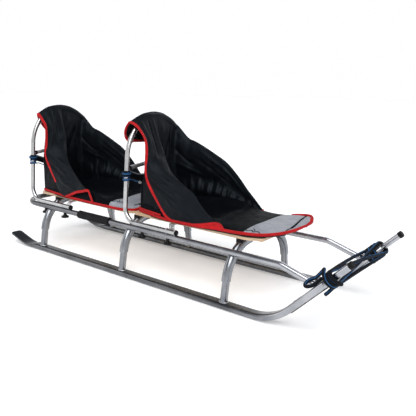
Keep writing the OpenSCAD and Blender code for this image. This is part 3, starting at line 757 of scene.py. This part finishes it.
def cover(tag, dx, seed):
    rear = tag == "rear"
    fold_c, foot_c, foot_end = (NEAR_FOLD_REAR, NEAR_FOOT_REAR, FOOT_END_REAR) if rear else (NEAR_FOLD, NEAR_FOOT, FOOT_END)
    near_edge = NEAR_EDGE_REAR if rear else NEAR_EDGE[:-1] + [foot_c[0]]
    ridge, flap_edge = (RIDGE_REAR, FLAP_EDGE_REAR) if rear else (RIDGE, FLAP_EDGE)
    S = lambda c: shift(c, dx)

    def put(name, g, th, mat, flip=False, nodes=()):
        v, f, uv = sheet_mesh(g, th, flip)
        ob = mesh_obj(f"cover_{name}_{tag}", v, f, mat, uvs=uv)
        for nd in nodes:
            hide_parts(f"{nd}_{tag}")
        return ob

    # --- hood: back flap behind the hoop, hung from the ridge
    fe = S(flap_edge)
    left, bot, rgt = fe[:5], fe[4:9], fe[8:][::-1]
    g = coons(S(ridge), bot, left, rgt, 90, 50)
    v = np.linspace(0, 1, 50)[:, None]
    u = np.linspace(0, 1, 90)[None, :]
    g[:, :, 0] -= 9 * np.sin(np.pi * v) ** 1 * np.clip(np.sin(np.pi * u) * 1.5, 0, 1)
    g = folds(g, [([(0.15, 0.1), (0.2, 0.9)], 0.04, -3), ([(0.45, 0.05), (0.5, 0.95)], 0.06, 3), ([(0.75, 0.1), (0.7, 0.9)], 0.05, -3)])
    g = soften(off_hoop(rumple(g, 45, 2.0, seed), dx, -1), 4)
    hood = put("hood", g, 2.2, NYLON, nodes=("hood",))
    edge = np.vstack([g[:, 0], g[-1, 1:], g[::-1, -1][1:]])
    inner = np.vstack([g[:, 5], g[-6, 6:-6], g[::-1, -6][1:]])
    cut = int(len(edge) * 0.95)
    hb = tape(f"cover_hood_binding_{tag}", edge[:cut], inner[:cut], 250)
    declare(g)

    # --- right wing: outer sheet, from the hood down to the seat's right edge
    nu, nv = 110, 150
    top = S(ridge[:4] + [fold_c[0]])
    g = coons(top, S(foot_c), S(near_edge), S(fold_c), nu, nv)
    u = np.linspace(0, 1, nu)[None, :]
    v = np.linspace(0, 1, nv)[:, None]
    belly = np.sin(np.pi * u) * np.sin(np.pi * v)
    g[:, :, 1] -= 10 * belly
    g[:, :, 0] += 5 * belly
    g = folds(g, [
        ([(0.05, 0.42), (0.35, 0.50), (0.8, 0.62)], 0.035, 4.0),
        ([(0.05, 0.55), (0.30, 0.66), (0.55, 0.85)], 0.03, -4.2),
        ([(0.1, 0.50), (0.40, 0.62), (0.70, 0.80)], 0.03, 4.2),
        ([(0.30, 0.06), (0.34, 0.25), (0.40, 0.42)], 0.05, 4.5),
        ([(0.60, 0.05), (0.66, 0.2), (0.72, 0.36)], 0.05, -6),
        ([(0.82, 0.05), (0.85, 0.2), (0.88, 0.36)], 0.05, 5),
        ([(0.25, 0.75), (0.45, 0.86), (0.62, 0.97)], 0.04, 4.0),
    ], -1)
    g = soften(off_hoop(rumple(g, 55, 3.2, seed + 3, aniso=(1, 1, 0.6)), dx, 1), 8)
    g = off_hoop(g, dx, 1, 9.3)
    wr = put("wing_right", g, 2.6, NYLON, nodes=("wing_right",))
    stop = int(nv * (0.79 if rear else 1.0))
    wb = tape(f"cover_wing_right_binding_{tag}", g[:stop, 0], g[:stop, 6], 220)
    wf = tape(f"cover_wing_right_foot_binding_{tag}", g[-1], g[-7], 120, extra=S(foot_end))
    declare(g)
    # inner sheet of the same wing
    last = tuple(foot_c[-1])
    if rear:
        inner_foot = S([(-98, -92, 205), (-60, -96, 205), (-20, -99, 206), (24, -102, 207), (70, -105, 210), (115, -106, 220), last])
    else:
        inner_foot = S([(-98, -77, 206), (-60, -89, 207), (-20, -97, 207), (24, -102, 207), (70, -105, 206), (130, -106.5, 206), (180, -107, 208), last])
    top2 = S([(-99, -56, 440), (-97, -30, 441), (-91, -7, 440)])
    if rear:
        left2 = S([(-99, -56, 440), (-99, -74, 400), (-99, -88, 345), (-98, -92, 300), (-98, -92, 205)])
    else:
        left2 = S([(-99, -56, 440), (-99, -58, 400), (-99, -61, 340), (-98, -71, 290), (-98, -77, 206)])
    right2 = S(fold_c[3:])
    g2 = coons(top2, inner_foot, left2, right2, 70, 100)
    g2 = off_hoop(rumple(g2, 50, 3.0, seed + 9), dx, 1)
    wl = put("wing_right_lining", g2, 2.2, NYLON_DARK, flip=True)
    declare(g2)

    # --- left wing: inner sheet (seen from the right) and outer sheet
    crease = S([(-99, 70, 204), (-60, 85, 210), (0, 97, 219), (60, 101, 222), (110, 104, 223), (165, 106, 223), (215, 108, 222), (246, 109, 220)])
    leftc = S([(-105, 78, 478), (-101, 66, 452), (-97, 58, 420), (-96, 56, 380), (-97, 60, 335), (-98, 66, 290), (-99, 70, 240), (-99, 70, 204)])
    topc = S([(-105, 78, 478)] + FAR_TOP[1:])
    # here u runs along the wing and v from its top edge to the crease
    tip = S([(246, 109, 220), (246.5, 108.5, 219.8), (247, 108, 219.6)])
    g = coons(topc, crease, leftc, tip, 150, 90)
    u = np.linspace(0, 1, 150)[None, :]
    v = np.linspace(0, 1, 90)[:, None]
    g[:, :, 1] += 9 * np.sin(np.pi * u) * np.sin(np.pi * v)
    g[:, :, 1] -= 13 * np.sin(np.pi * np.clip(u * 1.05, 0, 1)) * np.exp(-((v - 0.80) / 0.13) ** 2)       # padded roll above the seat
    rng = np.random.default_rng(seed)
    lines = []
    for k in range(19):                      # gathers along the foot of the wing
        uu = 0.20 + 0.76 * k / 18 + rng.uniform(-0.012, 0.012)
        lines.append(([(uu, 1.05), (uu - 0.01 + rng.uniform(-0.02, 0.02), 0.60 + rng.uniform(-0.14, 0.12))], 0.012, (4.2 if k % 2 else -3.8)))
    lines += [([(0.02, 0.3), (0.14, 0.36), (0.3, 0.42)], 0.03, -3.2), ([(0.05, 0.5), (0.2, 0.5), (0.36, 0.56)], 0.03, 2.8),
              ([(0.3, 0.12), (0.5, 0.2), (0.7, 0.3)], 0.035, 1.8), ([(0.28, 0.28), (0.46, 0.38), (0.62, 0.5)], 0.03, -1.6),
              ([(0.5, 0.1), (0.66, 0.2), (0.84, 0.36)], 0.03, -1.4)]
    g = folds(g, lines, -1)
    g = soften(off_hoop(rumple(g, 48, 3.2, seed + 5), dx, 1), 1)
    fi = put("wing_left", g, 2.4, NYLON, nodes=("wing_left",), flip=True)
    declare(g)
    g = coons(S(FAR_TOP), S(FAR_FOOT), S(FAR_BACK), tip, 120, 80)
    u = np.linspace(0, 1, 120)[None, :]
    v = np.linspace(0, 1, 80)[:, None]
    g[:, :, 1] += 8 * np.sin(np.pi * u) * np.sin(np.pi * v) + 3 * np.sin(np.pi * v)
    g = folds(g, [([(0.1, 0.4), (0.4, 0.55), (0.7, 0.8)], 0.04, 3), ([(0.2, 0.2), (0.5, 0.35), (0.8, 0.6)], 0.04, -3)])
    g = soften(off_hoop(rumple(g, 55, 3.0, seed + 7), dx, 1), 2)
    fo = put("wing_left_outer", g, 2.4, NYLON)
    fb = tape(f"cover_wing_left_binding_{tag}", g[8:, 0], g[8:, 6], 170)
    ff = tape(f"cover_wing_left_foot_binding_{tag}", g[-1], g[-7], 110)
    declare(g)

    # --- back panel
    top = S([(-110, -60, 500), (-108, -30, 505), (-107, 0, 506), (-107, 30, 502), (-107, 55, 492), (-106, 80, 478)])
    if rear:
        lft = S([(-110, -60, 500), (-104, -62, 470), (-101, -74, 430), (-101, -84, 380), (-101, -91, 340), (-101, -94, 306), (-101, -94, 270), (-101, -94, 235), (-101, -94, 198)])
    else:
        lft = S([(-110, -60, 500), (-104, -56, 470), (-101, -51, 430), (-101, -50, 380), (-101, -51, 335), (-101, -60, 308), (-101, -72, 290), (-101, -78, 250), (-101, -79, 198)])
    rt = S([(-106, 80, 478), (-103, 69, 452), (-100, 63, 420), (-100, 62, 380), (-100, 66, 335), (-101, 71, 290), (-101, 74, 240), (-101, 73, 196)])
    g = coons(top, np.array([lft[-1], (-101 + dx, 0, 197), (-101 + dx, 73, 196)]), lft, rt, 70, 100)
    g = folds(g, [([(0.42, 0.05), (0.40, 0.2), (0.44, 0.4)], 0.08, -5), ([(0.66, 0.1), (0.62, 0.25), (0.66, 0.45)], 0.06, 5),
                  ([(0.9, 0.12), (0.80, 0.26), (0.62, 0.42), (0.5, 0.60)], 0.035, 6), ([(0.96, 0.22), (0.84, 0.38), (0.70, 0.52)], 0.035, -5),
                  ([(0.5, 0.3), (0.55, 0.5), (0.6, 0.8)], 0.07, -4), ([(0.25, 0.5), (0.3, 0.7), (0.3, 0.9)], 0.06, 3)], -1)
    g = soften(off_hoop(rumple(g, 50, 2.6, seed + 11), dx, 1), 5)
    bp = put("back_panel", g, 3.0, NYLON, nodes=("back_panel",), flip=True)
    declare(g)

    # --- seat: pan with raised sides, then the front flap with its grey panel
    seat_pad(tag, dx, seed)


def seat_pad(tag, dx, seed):
    rim_c = SEAT_RIM_REAR if tag == "rear" else SEAT_RIM
    rim = catmull(rim_c, 400)
    if tag == "rear":                                        # the rear seat's nose is pressed up against the front seat's back
        rim[:, 0] = np.where(rim[:, 0] > 350, 371 - 21 * np.exp(-(rim[:, 0] - 350) / 21), rim[:, 0])
    # right edge and left edge as functions of x
    ifront = int(np.argmax(rim[:, 0]))
    rightedge, leftedge = rim[:ifront + 1], rim[ifront:][::-1]
    nx, ny = 230, 80
    L_ = np.vstack([[(-101, 74, 203)], [(-60, 86, 207)], [(0, 96, 214)], [(100, 104, 218)], [(200, 108, 218)], leftedge])
    R_, L_ = catmull(rightedge, nx), catmull(L_, nx)
    t = np.linspace(0, 1, ny)[None, :]
    g = R_[:, None, :] * (1 - t)[:, :, None] + L_[:, None, :] * t[:, :, None]
    x, y = g[:, :, 0], g[:, :, 1]
    pan = 1 / (1 + np.exp((x - 205) / 14))                   # behind the front flap
    wv = np.clip((np.abs(y) - 46) / 46, 0, 1)
    lift = 24 * wv ** 2 * pan * (x > -90)
    crown = 8 * (1 - (2 * t - 1) ** 4)
    base = g[:, :, 2].copy()
    inside = (t > 0.04) & (t < 0.96)
    top = np.where(inside, np.maximum(base, 203), base)
    e = np.clip(np.minimum(t, 1 - t) / 0.06, 0, 1)
    g[:, :, 2] = base + (top - base) * e + crown * e + lift * e
    g[:, :, 2] -= 4.0 * np.exp(-((x - 212) / 5) ** 2) * np.sin(np.pi * t) ** 0.5       # sewn line where pan and flap meet
    g[:, :, 2] += 2.5 * np.exp(-((x - 192) / 11) ** 2) * np.sin(np.pi * t) ** 0.5
    px0 = 254 if tag == "rear" else 313                      # where the grey panel begins
    xp = x - 14 * (y + 98) / 208                             # its edge runs a little forward to the left
    g[:, :, 2] -= 2.0 * np.exp(-((xp - px0) / 2.5) ** 2) * np.sin(np.pi * t) ** 0.5    # sewn line at the grey panel
    g = rumple(g, 38, 1.8, seed + 20, edge=0.05)
    # small creases in the grey panel's right corner
    for k in range(5):
        cx, cy = 330 + 7 * k, -84 + 6 * k
        g[:, :, 2] += 1.5 * np.exp(-(((x - cx) * 0.55 + (y - cy) * 0.84) / 3.0) ** 2) * np.exp(-(((x - cx) * 0.84 - (y - cy) * 0.55) / 16.0) ** 2) * (1 if k % 2 else -1)
    g = g + (dx, 0, 0)
    v, f, uvs = sheet_mesh(g, 4.0)
    xs = np.asarray(v)[:, 0] - dx - 14 * (np.asarray(v)[:, 1] + 98) / 208
    fm = [1 if xs[list(q)].mean() > px0 else 0 for q in f]
    ob = mesh_obj(f"cover_seat_{tag}", v, f, None, uvs=uvs, mats=[NYLON_SEAT, GREY], face_mat=fm)
    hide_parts(f"seat_pad_{tag}")
    # red edge, standing a little over the board's edge
    r = smooth_line(even(rim + (dx, 0, 0), 420), 4)
    rx = r[:, 0] - dx
    r[:, 2] -= 7.0 * np.clip((r[:, 1] - 95) / 10, 0, 1) * np.clip((rx - 236) / 14, 0, 1) * np.clip((362 - rx) / 30, 0, 1)   # tucked under on the far side
    sec = []
    for a in np.linspace(0, 2 * math.pi, 16, endpoint=False):
        ca, sa = math.cos(a), math.sin(a)
        sec.append((2.7 * math.copysign(abs(ca) ** 0.8, ca), 4.5 * math.copysign(abs(sa) ** 0.6, sa)))
    vv, ff, uu = sweep(r, sec, normals=np.repeat([(0, 0, 1.0)], len(r), axis=0))
    rb = mesh_obj(f"cover_seat_binding_{tag}", vv, ff, RED, uvs=uu)
    # second bound edge over the first at the back, and the dark underside between it and the board
    flat = [(1.6 * math.cos(a), 3.3 * math.sin(a)) for a in np.linspace(0, 2 * math.pi, 12, endpoint=False)]
    y_in = -87.5 if tag == "front" else -95
    for nm_, mt_, pts in (("upper_binding", RED, [(-99, y_in, 207), (-60, -98.5, 207), (-20, -105.5, 206.5), (12, -109.5, 205.5)]),
                          ("underside", NYLON_DARK, [(-99, y_in + 1.5, 194.2), (-60, -96.5, 194.2), (-20, -103.5, 194), (24, -108, 193.6), (130, -108, 193)]
                           + ([(190, -108, 195.6), (245, -108.5, 197.8), (290, -107, 198.6), (338, -98, 199.6), (366, -80, 199.6), (386, -53, 200), (403, -20, 200)] if tag == "front" else []))):
        if tag == "rear" and nm_ == "upper_binding":
            continue
        q = catmull([(a + dx, b_, c_) for a, b_, c_ in pts], 160)
        vv, ff, uu = sweep(q, flat, normals=np.repeat([(0, 0, 1.0)], len(q), axis=0))
        mesh_obj(f"cover_{nm_}_{tag}", vv, ff, mt_, uvs=uu)
    if tag == "front":
        # end of the wing's bound edge, folded down over the seat's edge
        g2 = coons([(128, -113.2, 196.5), (150, -113.2, 197.5), (173, -112.4, 201.5), (190, -111.6, 205), (206, -110.4, 208.5), (224, -109.2, 212), (235, -109.4, 212.5), (243, -110.2, 210), (250, -111.6, 203)],
                   [(128, -113.6, 195), (160, -113.8, 195.5), (200, -113.9, 198.5), (225, -113.8, 200), (251, -113, 200.5)],
                   [(128, -113.2, 196.5), (128, -113.6, 195)], [(250, -111.6, 203), (251, -113, 200.5)], 60, 8)
        vv, ff, uu = sheet_mesh(g2 + (dx, 0, 0), 2.0)
        mesh_obj(f"cover_wing_fold_{tag}", vv, ff, RED, uvs=uu)
    # black seam round the front of the grey panel, and a light grey line across the flap at the grey panel's edge:
    # painted highlight of the fold there
    surf = lambda px, py: float(g[:, :, 2].ravel()[np.argmin(np.hypot(g[:, :, 0].ravel() - px, g[:, :, 1].ravel() - py))])
    line_ = [(342, -88), (347, -78), (352, -66), (356, -50), (358, -20), (358, 20), (356, 60), (352, 97)] if tag == "rear" else FRONT_SEAM
    for part_, d_, line in (("end", 3.0, line_[:4]), ("seam", 6.0, line_[2:])):
        pts = [(x_ + dx, y_, surf(x_ + dx, y_) + 1.8) for x_, y_ in line]
        seam(f"cover_front_{part_}_{tag}", pts, d_)
    # light grey tube at the grey panel's edge: painted highlight of the fold along it
    pts = [(x_ + dx, y_, surf(x_ + dx, y_) + 1.8) for x_, y_ in [(px0 + 14 * (y + 98) / 208, y) for y in (-98, -70, -35, 0, 35, 70, 98)]]
    seam(f"cover_panel_highlight_line_{tag}", pts, 1.8, GREY)
    # dark tubes in the grey panel's right corner: painted shade of the creases there
    for k, line in enumerate((((309, -93), (314, -89), (319, -91), (325, -84), (330, -81), (335, -85), (342, -84), (349, -80), (356, -82)),
                              ((328, -72), (334, -76), (339, -82)))):
        cx = px0 - 313
        pts = [(x_ + cx + dx, y_, surf(x_ + cx + dx, y_) + 1.5) for x_, y_ in line]
        seam(f"cover_corner_crease_{k + 1}_{tag}", pts, 3.6 if k == 0 else 2.6)
    if tag == "front":                                       # wider bound edge round the nose's far corner
        q = catmull([(350, 109.5, 219.5), (366, 110.5, 223), (382, 110.5, 225.5), (400, 109.5, 228), (414, 106, 228.5), (423, 97, 227), (427, 84, 223.5), (426.5, 72, 219.3), (424.3, 56, 213.6)], 160)
        vv, ff, uu = sweep(q, [(4.8 * math.cos(a), 6.2 * math.sin(a)) for a in np.linspace(0, 2 * math.pi, 14, endpoint=False)],
                           normals=np.repeat([(0, 0, 1.0)], len(q), axis=0))
        mesh_obj(f"cover_nose_binding_{tag}", vv, ff, RED, uvs=uu)
    return ob


cover("front", 0.0, 3)
cover("rear", -SEAT, 31)


# ---------------------------------------------------------------- straps, lashing cords and fittings behind the backrests
def leg_y(z):
    return 129.2 + (376.5 - z) * math.tan(math.radians(4))


def tube(name, pts, d, mat, n=60, k=12):
    v, f, uv = sweep(catmull(pts, n), ring(d / 2, k=k))
    return mesh_obj(name, v, f, mat, uvs=uv)


def behind(tag, dx):
    hx = HOOP_X + dx
    first = True
    for sgn, side in ((-1, "right"), (1, "left")):
        # short black sleeve at the crossbar's end
        v, f, uv = sweep([(hx, sgn * (leg_y(340) - 6 - q), 339 + q * 0.11) for q in (0, 3, 6, 9)], ring(7.6, k=20))
        mesh_obj(f"crossbar_socket_{side}_{tag}", v, f, BLACK, uvs=uv)
        # cord turns round the leg, then across to a small ring in the panel's corner
        d = 3.8
        pts = []
        turns = 4.9
        for q in np.linspace(0, turns, int(turns * 16)):
            a = math.radians(-80) + 2 * math.pi * q
            z = np.interp(q, (0, 2.1, 2.8, turns), (329, 319.5, 310, 300.5))
            rr = np.interp(q, (0, 2.1, 2.5, turns), (12.4, 12.4, 9.9, 9.9))
            pts.append((hx + rr * math.cos(a), sgn * (leg_y(z) + rr * math.sin(a)), z))
        end = [(hx - 4, sgn * 106, 299.5), (hx - 5, sgn * 98, 296), (hx - 5, sgn * 88, 292), (hx - 2, sgn * 79, 289)]
        ps = even(smooth_line(catmull(pts + end, 700), 4), 500)
        v, f, uv = sweep(ps, ring(d / 2, k=10))
        ob = mesh_obj(f"lashing_cord_{side}_{tag}", v, f, LASHING, uvs=uv)
        if first:
            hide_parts(f"lashing_{tag}")
            first = False
        # loop of the strap round the leg
        v, f, uv = sweep([(hx, sgn * leg_y(z), z) for z in (313.5, 314.3, 318, 323, 328, 331.7, 332.5)], ring(9.9, k=28))
        mesh_obj(f"strap_loop_{side}_{tag}", v, f, NYLON_DARK, uvs=uv)
        # light ring where the cord ends
        c = np.array((hx + 1.5, sgn * 74.5, 287.5))
        rp = [c + (0, 4.4 * math.cos(a), 4.4 * math.sin(a)) for a in np.linspace(0, 2 * math.pi, 24, endpoint=False)]
        v, f, uv = sweep(rp, ring(1.3, k=8), closed=True)
        mesh_obj(f"grommet_{side}_{tag}", v, f, WELD, uvs=uv)
    # slack strap between the legs
    half = leg_y(323) - 6
    ys = np.linspace(-half, half, 60)
    g = np.zeros((8, 60, 3))
    for i, q in enumerate(np.linspace(-10.5, 10.5, 8)):
        for j, y in enumerate(ys):
            s_ = 1 - (y / half) ** 2
            g[i, j] = (hx - 10 - 4 * s_ - q * 0.35 * (0.1 + s_), y, 323 - 28 * s_ - q * 0.93 + 0.8 * math.sin(y * 0.11))
    v, f, uv = sheet_mesh(g, 2.2)
    ob = mesh_obj(f"strap_{tag}", v, f, NYLON_DARK, uvs=uv)
    # grey tube along the strap's top edge: painted sheen of the black strap
    v, f, uv = sweep(g[0] + (0, 0, 0.6), ring(2.3, k=10))
    edge = mesh_obj(f"strap_sheen_line_{tag}", v, f, STRAP_SHEEN, uvs=uv)
    declare(g)


behind("front", 0.0)
behind("rear", -SEAT)

# ---------------------------------------------------------------- welds, bolts and the dark strips painted under the raised fronts
MID = -98.0
for i, ax in enumerate((MID - 400, MID, MID + 400)):
    for sgn in (-1, 1):
        c = (ax, sgn * 169.9, 19.2)
        pts = [(c[0] + 12.6 * math.cos(a), c[1] + 10.4 * math.sin(a), c[2] + 0.3 * math.sin(5 * a) - 0.9 * max(0, abs(math.sin(a)) - 0.6) * 3) for a in np.linspace(0, 2 * math.pi, 60, endpoint=False)]
        v, f, uv = sweep(pts, [(1.9 * x_, 1.9 * y_) for x_, y_ in ring(1, k=8)], closed=True)
        mesh_obj(f"weld_foot_{i}_{'l' if sgn > 0 else 'r'}", v, f, WELD, uvs=uv)
        for k, (wy, wz) in enumerate(((132.6, 153.0), (139.0, 146.4))):
            tube(f"weld_rail_{i}_{k}_{'l' if sgn > 0 else 'r'}", [(ax + q, sgn * wy, wz + 0.35 * math.sin(q)) for q in np.linspace(-11, 11, 12)], 4.2, WELD, 24, 8)
for sgn in (-1, 1):
    nm = "l" if sgn > 0 else "r"
    # two short light tubes where the raised runner bends
    for k, t in enumerate((88, 104)):
        q = rod(t, sgn * 170, 9.6, -sgn * 6)
        tube(f"rise_light_mark_{k}_{nm}", [q + E_T * w_ for w_ in (-6.0, -2.0, 2.0, 6.0)], 3.4, WELD, 16, 8)
    # side rail's end, welded to the raised runner
    a = np.array((569.0, sgn * 142, 123.0))
    pts = [a + np.array((math.cos(RISE) * 10.5 * math.cos(q), sgn * 9.6, 0)) + np.array((0, 0, 10.5 * math.sin(q))) for q in np.linspace(0, 2 * math.pi, 30, endpoint=False)]
    v, f, uv = sweep(pts, ring(1.7, k=8), closed=True)
    mesh_obj(f"weld_rail_end_{nm}", v, f, WELD, uvs=uv)
    # dark strip under the raised front: painted reflection, the dark band reflected on the tube's underside
    pts = [rod(t, sgn * 170, -10.3) for t in np.linspace(66, 192, 30)]
    v, f, uv = sweep(pts, [(9.0 * x_, 1.1 * y_) for x_, y_ in ring(1, k=12)], normals=[E_N] * 30)
    mesh_obj(f"rise_underside_dark_reflection_{nm}", v, f, BLACK, uvs=uv)
    # bolts on the front seat's brackets
    for k, bx in enumerate((53.0, 63.0)):
        bm = []
        for q, r_ in ((0, 3.4), (1.2, 3.3), (2.2, 2.5), (2.8, 1.0)):
            bm.append((q, r_))
        ov = []
        for q, r_ in bm:
            for a_ in np.linspace(0, 2 * math.pi, 16, endpoint=False):
                nvec = np.array((0, sgn, 0))
                tvec = np.array((0, 0, 1.0))
                ov.append(np.array((bx, sgn * 110.4, 174.0)) + nvec * q + np.array((1.0, 0, 0)) * r_ * math.cos(a_) + tvec * r_ * math.sin(a_))
        of_ = []
        for q in range(3):
            for a_ in range(16):
                of_.append((q * 16 + a_, q * 16 + (a_ + 1) % 16, (q + 1) * 16 + (a_ + 1) % 16, (q + 1) * 16 + a_))
        of_.append(tuple(range(16))[::-1])
        of_.append(tuple(range(48, 64)))
        if sgn < 0:
            of_ = [tuple(reversed(t_)) for t_ in of_]
        mesh_obj(f"bracket_bolt_{k}_{nm}", ov, of_, WELD)

# black blocks between the arches' shoulders and the boards
for i, ax in enumerate((MID - 400, MID, MID + 400)):
    for sgn in (-1, 1):
        prof = [(103, 185.3), (103.6, 173.2), (96, 176.2), (84, 180.4), (70, 183.8), (66, 185.3)]
        ov = [(ax + q, sgn * y_, z_) for q in (-11.5, -10.5, 10.5, 11.5) for y_, z_ in (prof if abs(q) < 11 else [(84 + (y_ - 84) * 0.94, 180 + (z_ - 180) * 0.9) for y_, z_ in prof])]
        of_ = [tuple(range(6))[::-1], tuple(range(18, 24))]
        for q in range(3):
            for k in range(6):
                of_.append((q * 6 + k, q * 6 + (k + 1) % 6, (q + 1) * 6 + (k + 1) % 6, (q + 1) * 6 + k))
        if sgn > 0:
            of_ = [tuple(reversed(t_)) for t_ in of_]
        mesh_obj(f"arch_black_block_{i}_{'l' if sgn > 0 else 'r'}", ov, of_, BLACK, smooth=False)

# thin clips round the front hoop's feet, at both sides of the bracket
for sgn in (-1, 1):
    for k, bx in enumerate((64.0, 97.0)):
        v, f, uv = sweep([(bx + q, sgn * 141.9, 172.5) for q in (0, 1.0, 2.0, 3.0, 4.0)], ring(8.6, k=28))
        mesh_obj(f"foot_clip_{k}_{'l' if sgn > 0 else 'r'}", v, f, BRACKET, uvs=uv)

# ---------------------------------------------------------------- floor, light, world
fl = bpy.data.meshes.new("floor")
R0 = 14.0
fl.from_pydata([(R0 * math.cos(a), R0 * math.sin(a), 0) for a in np.linspace(0, 2 * math.pi, 64, endpoint=False)], [], [tuple(range(64))])
floor = link(bpy.data.objects.new("floor", fl))
fm, nt, b = new_mat("floor")
b.inputs["Base Color"].default_value = (0.94, 0.94, 0.94, 1)
b.inputs["Roughness"].default_value = 0.9
b.inputs["Specular IOR Level"].default_value = 0.1
b.inputs["Emission Color"].default_value = (0.96, 0.98, 1.0, 1)
b.inputs["Emission Strength"].default_value = 0.20
fl.materials.append(fm)

w = bpy.data.worlds.new("studio")
bpy.context.scene.world = w
w.use_nodes = True
nt = w.node_tree
bg = nt.nodes["Background"]
tc = node(nt, "ShaderNodeTexCoord")
sep = node(nt, "ShaderNodeSeparateXYZ")
nt.links.new(tc.outputs["Generated"], sep.inputs[0])
col = ramp(nt, sep.outputs[2], [(0.0, (1.05, 1.05, 1.05)), (0.13, (1.05, 1.05, 1.05)), (0.36, (0.80, 0.81, 0.82)), (0.50, (0.22, 0.23, 0.25)), (1.0, (0.12, 0.13, 0.15))])
nt.links.new(col, bg.inputs["Color"])
bg.inputs["Strength"].default_value = 0.95


def area(name, pos, target, sx, sy, power, colr=(1, 1, 1)):
    ld = bpy.data.lights.new(name, "AREA")
    ld.shape = "RECTANGLE"
    ld.size, ld.size_y = sx, sy
    ld.energy = power
    ld.color = colr
    ob = link(bpy.data.objects.new(name, ld))
    ob.location = pos
    d = Vector(target) - Vector(pos)
    ob.rotation_euler = d.to_track_quat("-Z", "Y").to_euler()
    return ob


sun_data = bpy.data.lights.new("soft_sun", "SUN")
sun_data.energy = 2.1
sun_data.angle = math.radians(50)
sun = link(bpy.data.objects.new("soft_sun", sun_data))
sun.rotation_euler = (math.radians(24), math.radians(14), 0)
area("key", (2.2, -2.6, 2.6), (0, 0, 0.2), 2.2, 1.6, 42)
area("fill", (-2.8, -1.8, 1.6), (0, 0, 0.2), 2.0, 2.0, 14)
area("rim", (-0.6, 2.8, 2.4), (0, 0, 0.3), 2.6, 1.2, 24)

vs = bpy.context.scene.view_settings
vs.view_transform = "Standard"
vs.exposure = 0.0
